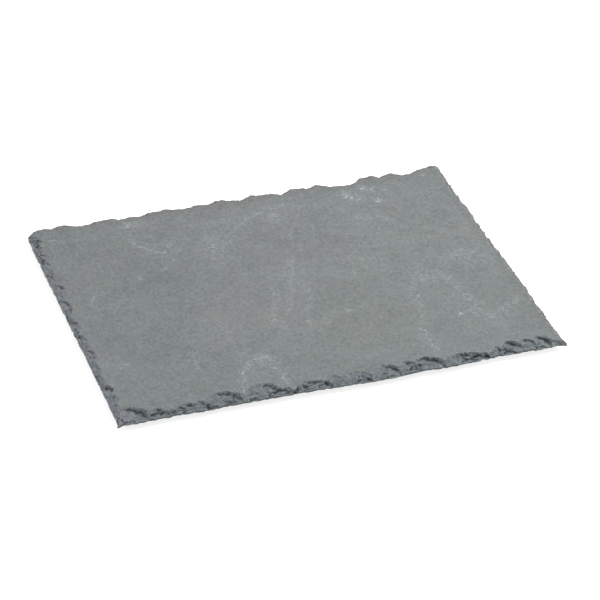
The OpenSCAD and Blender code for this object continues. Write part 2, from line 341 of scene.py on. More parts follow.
def ring(d, thinning=1):
    """The rectangle d inside the outline, anticlockwise from the front left: side, share along it and place
    of each point."""
    counts = np.array([LONG_N, SHORT_N, LONG_N, SHORT_N]) // thinning
    side = np.repeat(np.arange(4), counts)
    share = np.concatenate([np.arange(n) / n for n in counts])
    out = (share - 0.5) * (side_l[side] - 2 * d)
    flat = SIDE_DIR[side] * out[:, None] - SIDE_IN[side] * (side_gap[side] - d)[:, None]
    return side, share, flat


def teeth(a, i):
    """Scallops left by the blows along a side: each starts at its own depth and runs out straight to 0 where
    the next one starts."""
    t = a / TOOTH_PITCH + 0.8 * line_noise(a / 1.5 / TOOTH_PITCH, i + 60)
    k = np.floor(t)
    return (0.25 + 0.75 * hash_number(k, i + 70)) * (1 - (t - k))


def wander(a, i):
    """How far the arris of side i lies inwards, a along it: the drawn line, and then nicks, crumbs and teeth,
    which fade out at the corners."""
    places, depths = np.array(wander_shares[i]).T
    drawn = wander_depth * side_wander_shares[i] * np.interp(a / side_l[i], places, depths)
    calm = ease(np.minimum(a, side_l[i] - a) / nick_pitch)
    nicks = nick_depth * line_noise(a / nick_pitch * 2, i + 10)
    crumbs = CRUMB_DEPTH[i] * sum(weight * line_noise(a / size, i + salt) for weight, size, salt in CRUMBS)
    return drawn + calm * (nicks + crumbs + TOOTH_DEPTH[i] * teeth(a, i))


def shifted(side, share, flat, d):
    """The ring's points moved inwards by the wander of their own side and, near a corner, of the next one."""
    moved = flat.copy()
    fade = 1 - ease(d / fade_w)
    for i in range(4):
        on = side == i
        t, nxt, prv = share[on], (i + 1) % 4, (i + 3) % 4
        own = wander(t * side_l[i], i)[:, None] * SIDE_IN[i]
        near_next = ease(1 - (1 - t) * side_l[i] / fade_w)[:, None] * SIDE_IN[nxt]
        near_last = ease(1 - t * side_l[i] / fade_w)[:, None] * SIDE_IN[prv]
        moved[on] += fade * (own + wander(0.0, nxt) * near_next + wander(side_l[prv], prv) * near_last)
    return cornered(moved)


def cornered(flat):
    """The plan with its back left corner pressed in to a slanting line: what lies beyond the line ends
    within corner_rim of it, and inside the line the press fades out as a cube over corner_fade."""
    slant = math.hypot(corner_cut_left, corner_cut_back)
    outwards = np.array([-corner_cut_left, corner_cut_back]) / slant
    beyond = (flat - [corner_cut_back - board_l / 2, board_w / 2]) @ outwards
    most = corner_cut_back * corner_cut_left / slant
    pressed = np.where(beyond > 0, corner_rim * (beyond / most - 1),
                       beyond - corner_rim * np.clip(1 + beyond / corner_fade, 0, 1) ** 3)
    return flat + (pressed - beyond)[:, None] * outwards


def scar_height(u, v, reach, lip, wall_h, drop, rng):
    """One flake scar, u from -1 to 1 along it: a floor that deepens towards u = 1 and drops to the lip near
    the edge, as board_t - sunk - (board_t - sunk - lip) (1 - v / reach)^drop, and a wall that meets the face
    crisply. Its outline |u|^bend + (v / reach)^bend = 1 runs from nearly straight sides to an ellipse."""
    bend, start = rng.uniform(*SCAR_BENDS), rng.uniform(*SINK_STARTS)
    w = np.clip(v / reach, 0, 1)
    r = outline_reach(u, v / reach, bend)
    sunk = wall_h * (SHALLOW_SHARE + (1 - SHALLOW_SHARE) * ease((u - start) / SINK_L))
    floor = board_t - sunk - (board_t - sunk - lip) * (1 - w) ** drop
    foot = WALL_START_SHARE - WALL_LEAN_SHARE * ease(u)
    wall = np.clip((r - foot) / (1 - foot), 0, 1) ** WALL_POWER
    return np.where(r < 1, floor + (board_t - floor) * wall, board_t)


def ledge_height(u, v, reach, level):
    """One ledge, u from -1 to 1 along it: a floor that rises gently inwards from its level, and an eased wall
    over the last part of its reach, all inside the outline |u|^2.6 + (v / reach)^2.6 = 1."""
    r = outline_reach(u, v / reach, 2.6)
    floor = level + 0.15 * v
    return floor + (board_t - floor) * ease((r - 0.82) / 0.18)


def seam_share(a, v, i):
    """How open a dark seam between sheets is, from 0 to 1: seams follow the zero lines of a noise drawn out
    along the side, open in some stretches of it, and are closed again 10 mm inwards."""
    seam = 1 - ease(np.abs(plane_noise(a, 2.4 * v, 13, 80 + i, 2)) / 0.2)
    stretch = ease((plane_noise(a, v, 15, 90 + i) + 0.05) / 0.3)
    return seam * stretch * ease(v / 1.2) * (1 - ease((v - 6) / 4))


def scars_of(i, rng):
    """Place, half length, reach and wall height of each scar of a side: those of its table, then chips."""
    for place, half, reach, wall in scar_shares[i]:
        wall_h = min(WALL_SHARES[i] * wall * scar_wall_h, board_t / 2)
        yield place * side_l[i], half * scar_w / 2, REACH_SHARES[i] * reach * scar_depth, wall_h
    for _ in range(CHIPS_PER_SIDE[i]):
        place, half = rng.uniform(0, side_l[i]), rng.uniform(*CHIP_HALVES)
        reach = half * rng.uniform(*CHIP_REACHES) + CHIP_LEAST_REACH
        yield place, half, reach, WALL_SHARES[i] * rng.uniform(*CHIP_WALLS)


def dressed_height(flat):
    """Lowest of the bevels, scars and ledges of all four sides, each seen through a ragged warp of the plan,
    less the seams between the sheets."""
    x, y = flat.T
    height = np.full(len(x), board_t)
    for i in range(4):
        rng = np.random.default_rng(100 + i)
        a = flat @ SIDE_DIR[i] + side_l[i] / 2
        v = flat @ SIDE_IN[i] + side_gap[i]
        a = a + noise_sum(x, y, ALONG_WARP, i)
        v = v + ease(v / 3) * noise_sum(x, y, ACROSS_WARP, i)
        tip = ease((a - side_l[i]) / TIP_L + 1.5) if i == 0 else 0.0
        lip = lip_h + LIP_SPREAD * plane_noise(a, v * 0.3, 9, 50 + i, 2)
        lip = lip * (1 - TIP_THINNER_SHARE * tip)
        waver = 0.5 + line_noise(a / nick_pitch / 2, i)
        bevel = bevel_w * side_bevel_shares[i] * waver * (1 + TIP_WIDER_SHARE * tip)
        height = np.minimum(height, lip + (board_t - lip) * np.clip(v / bevel, 0, 1))
        for place, half, reach, wall_h in scars_of(i, rng):
            u = CRISP_WAY[i] * (a - place) / half
            height = np.minimum(height, scar_height(u, v, reach, lip, wall_h, DROP_POWERS[i], rng))
        for place, half, reach, level in LEDGES[i]:
            height = np.minimum(height, ledge_height((a - place) / half, v, reach, level))
        below_face = ease((board_t - height) / 1.2)
        height = height - SEAM_DEPTH[i] * seam_share(a, v, i) * below_face
    return height


def layered(depth, x, y):
    """The same depth below the face, cut into uneven steps as the sheets of the slate break one after
    another: whole sheets, each level for LEVEL_SHARE of a step and eased to the next."""
    sheets = (depth + noise_sum(x, y, SHEET_WAVER) * ease(depth / 0.5)) / SHEET_T
    whole = np.floor(sheets)
    stepped = (whole + ease((sheets - whole - LEVEL_SHARE) / (1 - LEVEL_SHARE))) * SHEET_T
    share = (STEPPED_SHARE + noise_sum(x, y, STEPPED_WAVER)) * ease(depth / 0.4)
    return depth * (1 - share) + np.maximum(stepped, 0) * share


def riven_relief(x, y, seed):
    """The split face's own relief: long swells, then ripples, all at or below the level of the flat face."""
    return np.minimum(noise_sum(x, y, RIVEN, seed) - RIVEN_DROP, 0)


def upper_face(flat, dressed=False):
    """Height of the upper side above the underside, and how freshly broken it is there, from 0 to 1: the
    dressed depth in steps, less the crags, which are highest near the rim, or the riven relief."""
    x, y = flat.T
    depth = board_t - dressed_height(flat) if dressed else np.zeros(len(x))
    depth = layered(depth, x, y)
    whole_w, fade = CRAG_RIM
    rim = 1 - ease((np.minimum(board_l / 2 - np.abs(x), board_w / 2 - np.abs(y)) - whole_w) / fade)
    crags = sum(height * (hollows(x, y, size, seed) - CRAG_LEVEL) for height, size, seed in CRAGS)
    depth = depth - crags * (INNER_CRAG_SHARE + (1 - INNER_CRAG_SHARE) * rim) * ease(depth / 0.9)
    cut = ease((depth - 0.08) / 0.3)
    rough = noise_sum(x, y, BROKEN_GRAIN) * cut
    broken = np.maximum(board_t - depth + rough, LEAST_T)
    return broken + riven_relief(x, y, 71) * (1 - cut), cut


# Marks of the upper face, in millimetres from the middle of the board

# Each cleft line: strength, width of the stippled band along it, and the points of its course
CLEFT_LINES = [
    (0.9, 5.0, [(82, -136), (86, -120), (87, -98), (90, -85), (94, -72), (99, -60), (100, -45), (103, -32),
                (106, -25), (112, -16), (120, -12), (128, -15), (134, -23), (138, -35), (140, -48),
                (140, -72), (143, -85), (147, -94), (160, -91), (172, -83), (183, -76)]),
    (0.65, 3.8, [(139, -50), (147, -65), (151, -75)]),
    (0.7, 2.8, [(15, 38), (12, 26), (7, 12), (1, 2), (-1, -10), (-6, -20), (-12, -35), (-18, -41)]),
    (0.75, 4.6, [(12, 34), (5, 27), (2, 19)]),
    (0.65, 3.6, [(-16, -2), (-18, -15), (-26, -32), (-31, -48), (-24, -50)]),
    (0.55, 3.8, [(11, -2), (13, -20), (6, -33), (-1, -45), (-3, -58), (3, -68), (10, -62), (16, -54),
                 (25, -50)]),
    (1.2, 3.6, [(-88, -136), (-84, -122), (-81, -112), (-77, -105), (-71, -100), (-65, -94), (-58, -92),
                (-53, -97), (-52, -110), (-50, -120), (-50, -136)]),
    (0.7, 5.0, [(-72, -108), (-66, -103), (-60, -101)]),
    (0.75, 3.3, [(-53, 110), (-44, 113), (-35, 110), (-20, 110)]),
    (0.8, 3.8, [(-35, 84), (-25, 90), (-15, 100), (-3, 109), (10, 115), (20, 120), (33, 121), (38, 124)]),
    (0.5, 1.8, [(25, 67), (30, 78), (40, 95), (49, 113)]),
    (0.8, 4.0, [(-111, 135), (-110, 128), (-103, 125), (-96, 133)]),
    (0.8, 3.2, [(-114, 106), (-110, 95), (-102, 86), (-96, 79), (-90, 78), (-83, 87), (-75, 96)]),
    (0.4, 2.0, [(-111, 115), (-107, 102), (-100, 94), (-90, 91), (-80, 100)]),
    (0.5, 3.4, [(85, 68), (90, 73), (95, 85), (100, 76), (107, 82), (113, 82), (116, 77), (123, 72)]),
    (0.5, 2.2, [(-103, 50), (-90, 60), (-75, 79)]),
    (0.8, 1.6, [(-124, 42), (-120, 50)]),
    (1.0, 3.6, [(-116, -92), (-114, -81), (-111, -72)]),
    (0.7, 4.6, [(-194, -66), (-190, -71), (-183, -68), (-179, -76), (-171, -73)]),
    (0.9, 1.8, [(-174, 20), (-168, 30)]),
    (0.55, 1.8, [(-182, 125), (-175, 122), (-168, 117)]),
    (0.75, 4.0, [(84, -116), (88, -122), (85, -133)])]

# Each stippled patch: strength, middle and radius
PALE_PATCHES = [
    (3.8, 98, 120, 6), (2.2, 108, 112, 5), (1.6, -108, 129, 6), (2.8, 116, 129, 4), (2.4, 122, 122, 3.5),
    (1.9, 122, 105, 4), (2.4, 136, 121, 2), (2.2, 179, 134, 3), (0.9, 165, 0, 14), (0.7, 180, -8, 12),
    (1.1, -42, 80, 14), (0.9, -52, 66, 10), (0.9, 78, 12, 10), (1.2, 120, -24, 9), (1.6, 128, -82, 3),
    (3.0, 36, -51, 2), (1.5, 22, 104, 8)]

# Broad tints of the face: amount, middle, and half width along x and y. Warm is brownish and its
# opposite greenish, and violet's opposite is yellowish.
WARM_PATCHES = [
    (1.2, 20, 40, 50, 45), (1.2, -45, -25, 45, 35), (0.9, 25, 112, 50, 18), (0.8, -50, 125, 60, 12),
    (0.9, -150, 70, 18, 25), (-1.0, 135, -50, 60, 60), (-1.0, 90, -110, 90, 30), (-0.9, -150, -50, 30, 60),
    (-0.8, 165, 100, 20, 45), (-0.7, -120, 20, 35, 25), (-0.8, -110, -110, 70, 20)]
VIOLET_PATCHES = [
    (1.6, -182, -45, 14, 40), (1.2, -182, 100, 14, 35), (1.1, -80, 72, 20, 16), (1.0, -115, 10, 18, 25),
    (0.8, -112, -40, 15, 18), (0.7, 10, 50, 60, 40), (-1.6, 45, -75, 45, 45), (-0.8, 150, 40, 50, 25),
    (-0.9, 150, -60, 30, 14), (-0.7, 185, -60, 12, 70), (-0.8, 70, -5, 30, 16)]
# Tone: lighter and darker stone, in screen levels, and where it lies as in the tints
TONE_PATCHES = [
    (-6, -178, 114, 25, 20), (-4.5, -135, 94, 28, 22), (-4, -118, 62, 25, 20), (-4, -108, 32, 28, 20),
    (-5, -172, -36, 22, 16), (-5, -132, -64, 25, 16), (3, -142, -18, 12, 12), (5, -78, -50, 22, 18),
    (3, -68, -88, 20, 18), (3, -40, -25, 28, 22), (3, -8, -62, 20, 18), (4, 45, 16, 28, 14),
    (3, 0, 0, 20, 18), (4, 50, -118, 25, 12), (2.5, 0, -104, 28, 16), (3, 15, 118, 40, 12),
    (2, 102, 80, 20, 18), (2, 150, 42, 22, 18), (-2, 88, 16, 18, 12), (-2.5, 66, -52, 14, 20),
    (-4, 182, -100, 15, 28), (-2.5, 160, -64, 20, 14), (-2, -70, 104, 18, 14)]

# Darker stone inside three of the edges: side, depth in screen levels, place inwards and half width
EDGE_DIPS = [(0, 6.0, 9.5, 3.5), (0, 1.0, 20, 8), (1, 4.5, 8.7, 4), (2, 4.5, 14, 7)]

# The front right tip, whose broken edge is worn as pale as the face: its start along x and y, the lengths
# over which it grows, and how much of the broken look it loses
WORN_FROM = (174, -132)
WORN_GROWTH = (16, 8)
WORN_SHARE = 0.75

# Warps of the marks and of the patches: amount, size and seed
MARK_WARP = (1.6, 11, 80)
PATCH_WARP = (8, 32, 84)

# The thread, a thin pale line along a cleft: the greatest distance that is kept, and the width of the
# band up to which it shows in full
GAP_LIMIT = 9
THREAD_BAND_W = 3.0


def cleft_marks(x, y):
    """Signed distance to the nearest cleft line, how strongly its thread shows, and how strong the stipple
    is: the highest of strength exp(-(distance / width)^2) over all lines and patches."""
    x, y = warped(x, y, *MARK_WARP)
    nearest, gap, show, halo = (np.full(len(x), value) for value in (1e3, 1e3, 0.0, 0.0))
    for strength, width, course in CLEFT_LINES:
        for (x0, y0), (x1, y1) in zip(course, course[1:]):
            run = np.hypot(x1 - x0, y1 - y0)
            ux, uy = (x1 - x0) / run, (y1 - y0) / run
            along = (x - x0) * ux + (y - y0) * uy
            across = (y - y0) * ux - (x - x0) * uy
            reach = np.hypot(along - np.clip(along, 0, run), across)
            closer = reach < nearest
            nearest = np.where(closer, reach, nearest)
            gap = np.where(closer, np.where(across < 0, -reach, reach), gap)
            show = np.where(closer, strength * min(1, (THREAD_BAND_W / width) ** 3), show)
            halo = np.maximum(halo, strength * np.exp(-(reach / width) ** 2))
    for strength, px, py, radius in PALE_PATCHES:
        halo = np.maximum(halo, strength * np.exp(-((x - px) ** 2 + (y - py) ** 2) / radius ** 2))
    return np.clip(gap, -GAP_LIMIT, GAP_LIMIT), show * (1 - ease((nearest - 1) / 3)), halo


def edge_tone(x, y):
    """Sum over the dips of -depth exp(-((d - place) / width)^2), d being the distance inwards."""
    inwards = [board_w / 2 + y, board_l / 2 - x, board_w / 2 - y]
    return -sum(depth * np.exp(-((inwards[i] - place) / width) ** 2) for i, depth, place, width in EDGE_DIPS)


def worn_tip(x, y):
    """1 at the front right tip, eased to 0 a little way off to the left and to the back."""
    return ease((x - WORN_FROM[0]) / WORN_GROWTH[0]) * ease((WORN_FROM[1] - y) / WORN_GROWTH[1])


def patch_sum(x, y, patches):
    """Sum of soft bumps, amount exp(-((x - px) / rx)^2 - ((y - py) / ry)^2), seen through a wide warp."""
    x, y = warped(x, y, *PATCH_WARP)
    total = np.zeros(len(x))
    for amount, px, py, rx, ry in patches:
        total += amount * np.exp(-((x - px) / rx) ** 2 - ((y - py) / ry) ** 2)
    return total


# Meshes

def split_quads(quads, height):
    """Two triangles for each quad, cut along the diagonal whose ends differ less in height."""
    p, q, r, s = quads.T
    along = np.abs(height[p] - height[r]) < np.abs(height[q] - height[s])
    first = np.where(along, [p, q, r], [p, q, s])
    second = np.where(along, [p, r, s], [q, r, s])
    return np.concatenate([first.T, second.T])


def strip(a, b, height):
    """Triangles between two closed rings of vertices, the second with as many points as the first, twice as
    many or half as many."""
    a1, b1 = np.roll(a, -1), np.roll(b, -1)
    if len(a) == len(b):
        return split_quads(np.stack([a, a1, b1, b], axis=1), height)
    if len(a) > len(b):
        even, odd, after = a[0::2], a[1::2], a1[1::2]
        three = [[even, odd, b], [odd, b1, b], [odd, after, b1]]
    else:
        even, odd, after = b[0::2], b[1::2], b1[1::2]
        three = [[a, odd, even], [a, a1, odd], [a1, after, odd]]
    return np.concatenate([np.stack(corners, axis=1) for corners in three])


def sheet_grid(border, first, nx, ny):
    """Vertex numbers of a grid: its border is a ring of vertices, and those inside count up from first."""
    ids = np.empty((ny + 1, nx + 1), int)
    ids[0, :nx] = border[:nx]
    ids[:ny, nx] = border[nx:nx + ny]
    ids[ny, nx:0:-1] = border[nx + ny:2 * nx + ny]
    ids[ny:0:-1, 0] = border[2 * nx + ny:]
    ids[1:-1, 1:-1] = first + np.arange((ny - 1) * (nx - 1)).reshape(ny - 1, nx - 1)
    return ids


def make_object(name, points, triangles, sharp_angle=None):
    """A mesh object from arrays of points in millimetres and of triangles, smooth but for edges over an
    angle in degrees."""
    mesh = bpy.data.meshes.new(name)
    mesh.vertices.add(len(points))
    mesh.vertices.foreach_set("co", (points * MM).astype(np.float32).ravel())
    mesh.loops.add(triangles.size)
    mesh.loops.foreach_set("vertex_index", triangles.astype(np.int32).ravel())
    mesh.polygons.add(len(triangles))
    mesh.polygons.foreach_set("loop_start", np.arange(0, triangles.size, 3, dtype=np.int32))
    mesh.update(calc_edges=True)
    mesh.validate()
    mesh.polygons.foreach_set("use_smooth", np.ones(len(mesh.polygons), bool))
    if sharp_angle:
        mesh.set_sharp_from_angle(angle=math.radians(sharp_angle))
    made = bpy.data.objects.new(name, mesh)
    bpy.context.scene.collection.objects.link(made)
    return made


# Rounds of averaging: few take away the small pits, and many the broad hollows
SMOOTH_ROUNDS = (10, 40)


def hollowness(points, triangles):
    """How far the smoothed surface lies outside each vertex, in millimetres: above 0 at the foot of a wall
    or in a hollow, below 0 on a ridge. Each round moves a point half way to the mean of its neighbours, and
    the smoothed surface is the mean of those after SMOOTH_ROUNDS."""
    ends = np.concatenate([triangles[:, [0, 1]], triangles[:, [1, 2]], triangles[:, [2, 0]]])
    total = len(points)

    def gathered(index, values):
        return np.stack([np.bincount(index, values[:, k], total) for k in range(3)], axis=1)

    neighbours = np.bincount(ends[:, 0], minlength=total)[:, None]
    smooth, chosen = points.copy(), []
    for done in range(1, max(SMOOTH_ROUNDS) + 1):
        smooth = (smooth + gathered(ends[:, 0], smooth[ends[:, 1]]) / neighbours) / 2
        if done in SMOOTH_ROUNDS:
            chosen.append(smooth)
    smooth = sum(chosen) / len(chosen)
    p, q, r = (points[triangles[:, k]] for k in range(3))
    facing = np.cross(q - p, r - p)
    normal = sum(gathered(triangles[:, k], facing) for k in range(3))
    normal /= np.linalg.norm(normal, axis=1, keepdims=True)
    return ((smooth - points) * normal).sum(axis=1)


def keep_values(piece, **columns):
    """Stores one number a vertex under each name, for the material to read."""
    for name, values in columns.items():
        attribute = piece.data.attributes.new(name, "FLOAT", "POINT")
        attribute.data.foreach_set("value", values.astype(np.float32))


FOOT_NODES = ["foot_front_left", "foot_front_right", "foot_back_right", "foot_back_left"]
ADHESIVE_NODES = [name.replace("foot", "adhesive") for name in FOOT_NODES]


def node_disc(node):
    """Middle in plan, radius, and lowest and highest level of a round CAD node, in millimetres."""
    low, high = (np.array(corner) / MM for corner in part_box(node))
    return (low + high)[:2] / 2, (high - low)[0] / 2, low[2], high[2]


# Rings of the slab, with so many points along a long and a short side: the underside's by distance inwards
# and thinning, the broken edge's by share of the lip's height, and the flaked band's, which lie ever
# further apart and whose points stray by a share of the room between them
LONG_N = 440
SHORT_N = 332
INNER_D = 30.0
UNDER_RINGS = [(INNER_D, 4), (18.0, 4), (10.0, 2), (5.0, 2), (2.8, 1)]
EDGE_SHARES = [0.0, 0.22, 0.48, 0.76]
BAND_RINGS = 25
BAND_END = 24.0
BAND_POWER = 1.35
INNER_RINGS = (26.0, 28.0, INNER_D)
STRAY_SHARE = 0.28
MOST_ROOM = 0.9

# Crumbled edge: depth, size and seed of its hollows, and how far apart the sides' patterns lie
CRUMBLE = [(1.1, 3.4, 90), (0.6, 1.7, 91)]
PATTERN_GAP = 40.0

# How far from a foot the underside is riven in full, and the fine ridge along a cleft line
FOOT_CLEARANCE = 12
CLEFT_RIDGE_H = 0.07
CLEFT_RIDGE_W = 0.9


def underside(x, y):
    """Height of the underside: its riven relief, which lies above the flat level, and is flat where a foot
    is stuck on."""
    height = -riven_relief(x, y, 75)
    for node in FOOT_NODES:
        middle, radius, _, _ = node_disc(node)
        off = np.hypot(x - middle[0], y - middle[1]) - radius
        height = height * ease(off / FOOT_CLEARANCE)
    return height


def edge_inwards(a, side, lip, level, share):
    """How far the broken edge lies inwards at a share of the lip's height: a ragged undercut that runs out
    upwards as (1 - share)^0.8, and the crumbled hollows, half as deep at the lowest level."""
    under = undercut_w * (0.4 + 0.6 * line_noise(a / nick_pitch, side + 20))
    up = PATTERN_GAP * side + 1.6 * lip * share
    crumble = sum(depth * hollows(a, up, size, seed) for depth, size, seed in CRUMBLE)
    return under * (1 - share) ** 0.8 + crumble * (1 if level else 0.5)


def build_slab():
    """One closed skin, ring by ring: underside inside to out, broken edge, lip, flaked band, and the grids
    of underside and face."""
    rng = np.random.default_rng(7)
    parts, rings = [], []

    def add(flat, height, cut, rim=0.0):
        parts.append(np.column_stack([flat, height, cut, rim * np.ones(len(flat))]))
        first = sum(len(p) for p in parts[:-1])
        rings.append(np.arange(first, first + len(flat)))

    for d, thinning in UNDER_RINGS:
        flat = shifted(*ring(d, thinning), d)
        add(flat, underside(*flat.T), np.zeros(len(flat)))

    side, share, flat = ring(0.0)
    lip, _ = upper_face(flat, dressed=True)
    for level, rise in enumerate(EDGE_SHARES):
        inwards = edge_inwards(share * side_l[side], side, lip, level, rise)
        flat = shifted(*ring(0.0), 0.0) + SIDE_IN[side] * inwards[:, None]
        add(flat, lip * rise, np.ones(len(flat)), STAIN_SHARES[side])

    insets = BAND_END * np.linspace(0, 1, BAND_RINGS) ** BAND_POWER
    room = np.minimum(np.diff(insets, prepend=0.0), MOST_ROOM)
    for d, loose in zip(insets, STRAY_SHARE * room):
        side, share, flat = ring(d)
        jitter = loose * rng.uniform(-1, 1, flat.shape)
        height, cut = upper_face(flat + jitter, dressed=True)
        stain = STAIN_SHARES[side] * (1 - ease(d / STAIN_W[side]))
        add(shifted(side, share, flat, d) + jitter, height, cut, stain)
    for d in INNER_RINGS:
        flat = ring(d, 2)[2]
        add(flat, *upper_face(flat))

    grids = []
    for border, thinning, face in ((rings[0], 4, False), (rings[-1], 2, True)):
        nx, ny = LONG_N // thinning, SHORT_N // thinning
        x = np.linspace(-1, 1, nx + 1)[1:-1] * (board_l / 2 - INNER_D)
        y = np.linspace(-1, 1, ny + 1)[1:-1] * (board_w / 2 - INNER_D)
        flat = np.stack(np.meshgrid(x, y), axis=-1).reshape(-1, 2)
        first = sum(len(p) for p in parts)
        height = upper_face(flat)[0] if face else underside(*flat.T)
        parts.append(np.column_stack([flat, height, np.zeros((len(flat), 2))]))
        ids = sheet_grid(border, first, nx, ny)
        grids.append(ids if face else ids[:, ::-1])

    table = np.concatenate(parts)
    points, cut, rim = table[:, :3] + [0, 0, slab_z], table[:, 3], table[:, 4]
    x, y = points[:, 0], points[:, 1]
    gap, show, halo = cleft_marks(x, y)
    up = points[:, 2] > slab_z + board_t / 2
    points[:, 2] += up * show * CLEFT_RIDGE_H * np.exp(-(gap / CLEFT_RIDGE_W) ** 2)
    triangles = [strip(a, b, points[:, 2]) for a, b in zip(rings, rings[1:])]
    for ids in grids:
        quads = np.stack([ids[:-1, :-1], ids[:-1, 1:], ids[1:, 1:], ids[1:, :-1]], axis=-1).reshape(-1, 4)
        triangles.append(split_quads(quads, points[:, 2]))
    triangles = np.concatenate(triangles)
    slab = make_object("slate_slab_riven", points, triangles, sharp_angle=34)
    # hollow tells the slate where to paint shade in hollows and pale crests, partly painted highlight
    keep_values(slab, cut=cut * (1 - WORN_SHARE * worn_tip(x, y)), rim=rim, cleft_gap=gap,
                cleft_show=show * up, halo=halo * up, hollow=hollowness(points, triangles),
                tone=patch_sum(x, y, TONE_PATCHES) + edge_tone(x, y),
                warm=patch_sum(x, y, WARM_PATCHES), violet=patch_sum(x, y, VIOLET_PATCHES))
    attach(slab, "root")
    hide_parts("slate_slab")
    return slab


def lathe(name, profile, middle, around=96):
    """The profile, a list of (radius, level) from the axis to the axis, carried round a vertical line
    through the middle."""
    radius, level = np.array(profile).T
    angle = np.linspace(0, 2 * math.pi, around, endpoint=False)
    inner = np.arange(1, len(radius) - 1)
    grid = np.stack([middle[0] + np.outer(radius[inner], np.cos(angle)),
                     middle[1] + np.outer(radius[inner], np.sin(angle)),
                     np.repeat(level[inner, None], around, axis=1)], axis=-1).reshape(-1, 3)
    poles = np.array([[*middle, level[0]], [*middle, level[-1]]])
    points = np.concatenate([grid, poles])
    rows = np.arange(len(grid)).reshape(len(inner), around)
    following = np.roll(rows, -1, axis=1)
    quads = np.stack([rows[:-1], following[:-1], following[1:], rows[1:]], axis=-1).reshape(-1, 4)
    low, high = len(grid), len(grid) + 1
    fans = [np.stack([np.full(around, low), following[0], rows[0]], axis=1),
            np.stack([np.full(around, high), rows[-1], following[-1]], axis=1)]
    triangles = np.concatenate([split_quads(quads, points[:, 2])] + fans)
    return make_object(name, points, triangles, sharp_angle=40)


def arc(cx, cz, radius, start, end, steps):
    """Points on an arc of a profile, from one angle to another in degrees."""
    return [(cx + radius * math.cos(math.radians(a)), cz + radius * math.sin(math.radians(a)))
            for a in np.linspace(start, end, steps)]


def build_foot(node):
    """A moulded rubber foot: an elliptic cup in the sole, a round lower rim, a leaning wall and a small
    round upper edge."""
    middle, radius, low, high = node_disc(node)
    rim, cup_r, cup_h, lean, edge = 1.0, 0.66 * radius, 0.25, 0.12, 0.15
    profile = [(0, low + cup_h)]
    profile += [(cup_r * math.sin(t), low + cup_h * math.cos(t)) for t in np.linspace(0.3, math.pi / 2, 6)]
    profile += arc(radius - rim, low + rim, rim, -90, 0, 9)
    profile += [(radius - lean / 2, (low + rim + high) / 2)]
    profile += arc(radius - lean - edge, high - edge, edge, 0, 90, 4)
    profile += [(radius / 2, high), (0, high)]
    foot = lathe(f"{node}_moulded", profile, middle)
    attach(foot, "root")
    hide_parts(node)
    return foot


def build_adhesive(node):
    """A disc of double-sided adhesive whose edge between foot and slab is half round."""
    middle, radius, low, high = node_disc(node)
    bulge = (high - low) / 2
    profile = [(0, low), (radius - bulge, low)]
    profile += arc(radius - bulge, low + bulge, bulge, -90, 90, 7)[1:-1]
    profile += [(radius - bulge, high), (0, high)]
    disc = lathe(f"{node}_disc", profile, middle)
    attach(disc, "root")
    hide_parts(node)
    return disc


# Materials

def screen(red, green, blue):
    """A colour given as screen values from 0 to 255, as the linear colour that a shader socket takes."""
    shares = np.array([red, green, blue]) / 255
    linear = np.where(shares <= 0.04045, shares / 12.92, ((shares + 0.055) / 1.055) ** 2.4)
    return (*linear.tolist(), 1.0)


class Shade:
    """A socket of a shader tree. Plus, minus, times and abs, with another one or a number, add Math nodes."""

    draws = itertools.count()

    def __init__(self, tree, socket=None):
        self.tree = tree
        self.socket = socket

    def node(self, kind, settings=(), values=(), out=0):
        """Adds a node: its settings first, then the values or links of its inputs. Returns one output."""
        made = self.tree.nodes.new(kind)
        for name, value in dict(settings).items():
            setattr(made, name, value)
        for name, value in dict(values).items():
            if isinstance(value, Shade):
                self.tree.links.new(value.socket, made.inputs[name])
            else:
                made.inputs[name].default_value = value
        return Shade(self.tree, made.outputs[out] if made.outputs else None)

    def math(self, operation, *values, clamp=False):
        """A Math node on these values or links."""
        settings = {"operation": operation, "use_clamp": clamp}
        return self.node("ShaderNodeMath", settings, dict(enumerate(values)))

    def __add__(self, other):
        return self.math("ADD", self, other)

    def __sub__(self, other):
        return self.math("SUBTRACT", self, other)

    def __rsub__(self, other):
        return self.math("SUBTRACT", other, self)

    def __mul__(self, other):
        return self.math("MULTIPLY", self, other)

    def __abs__(self):
        return self.math("ABSOLUTE", self)

    __radd__ = __add__
    __rmul__ = __mul__

    def clamped(self):
        """The same, held from 0 to 1."""
        return self.math("ADD", self, 0.0, clamp=True)

    def between(self, low, high):
        """0 at low, 1 at high and beyond, and a smooth rise between."""
        return self.node("ShaderNodeMapRange", {"interpolation_type": "SMOOTHSTEP"},
                         {"Value": self, "From Min": low, "From Max": high})

    def mixed(self, factor, a, b):
        """Colour a, turning into b as the factor goes from 0 to 1."""
        return self.node("ShaderNodeMix", {"data_type": "RGBA"}, {0: factor, 6: a, 7: b}, out=2)

    def noise(self, where, size, detail=2.0, roughness=0.5, stretch=(1, 1, 1)):
        """Noise from 0 to 1 whose lumps are size millimetres across, times the stretch along each axis. Each
        call looks at its own place some metres off, so that no two are alike and none shows the star round
        the noise's origin."""
        k = next(self.draws)
        drawn = self.node("ShaderNodeMapping", (), {
            "Vector": where, "Scale": tuple(1 / s for s in stretch),
            "Location": (2 + 3.1 * k % 5, 2 + 4.3 * k % 5, 1.7 + 0.4 * k)})
        return self.node("ShaderNodeTexNoise", (), {
            "Vector": drawn, "Scale": 1 / (size * MM), "Detail": detail, "Roughness": roughness})

    def kept(self, name):
        """One of the numbers kept on the mesh."""
        return self.node("ShaderNodeAttribute", {"attribute_name": name}, out="Fac")


def new_material(name):
    """A material with an empty tree, and the Object coordinates of what it is on."""
    material = bpy.data.materials.new(name)
    material.use_nodes = True
    material.node_tree.nodes.clear()
    shade = Shade(material.node_tree)
    return material, shade, shade.node("ShaderNodeTexCoord", out="Object")


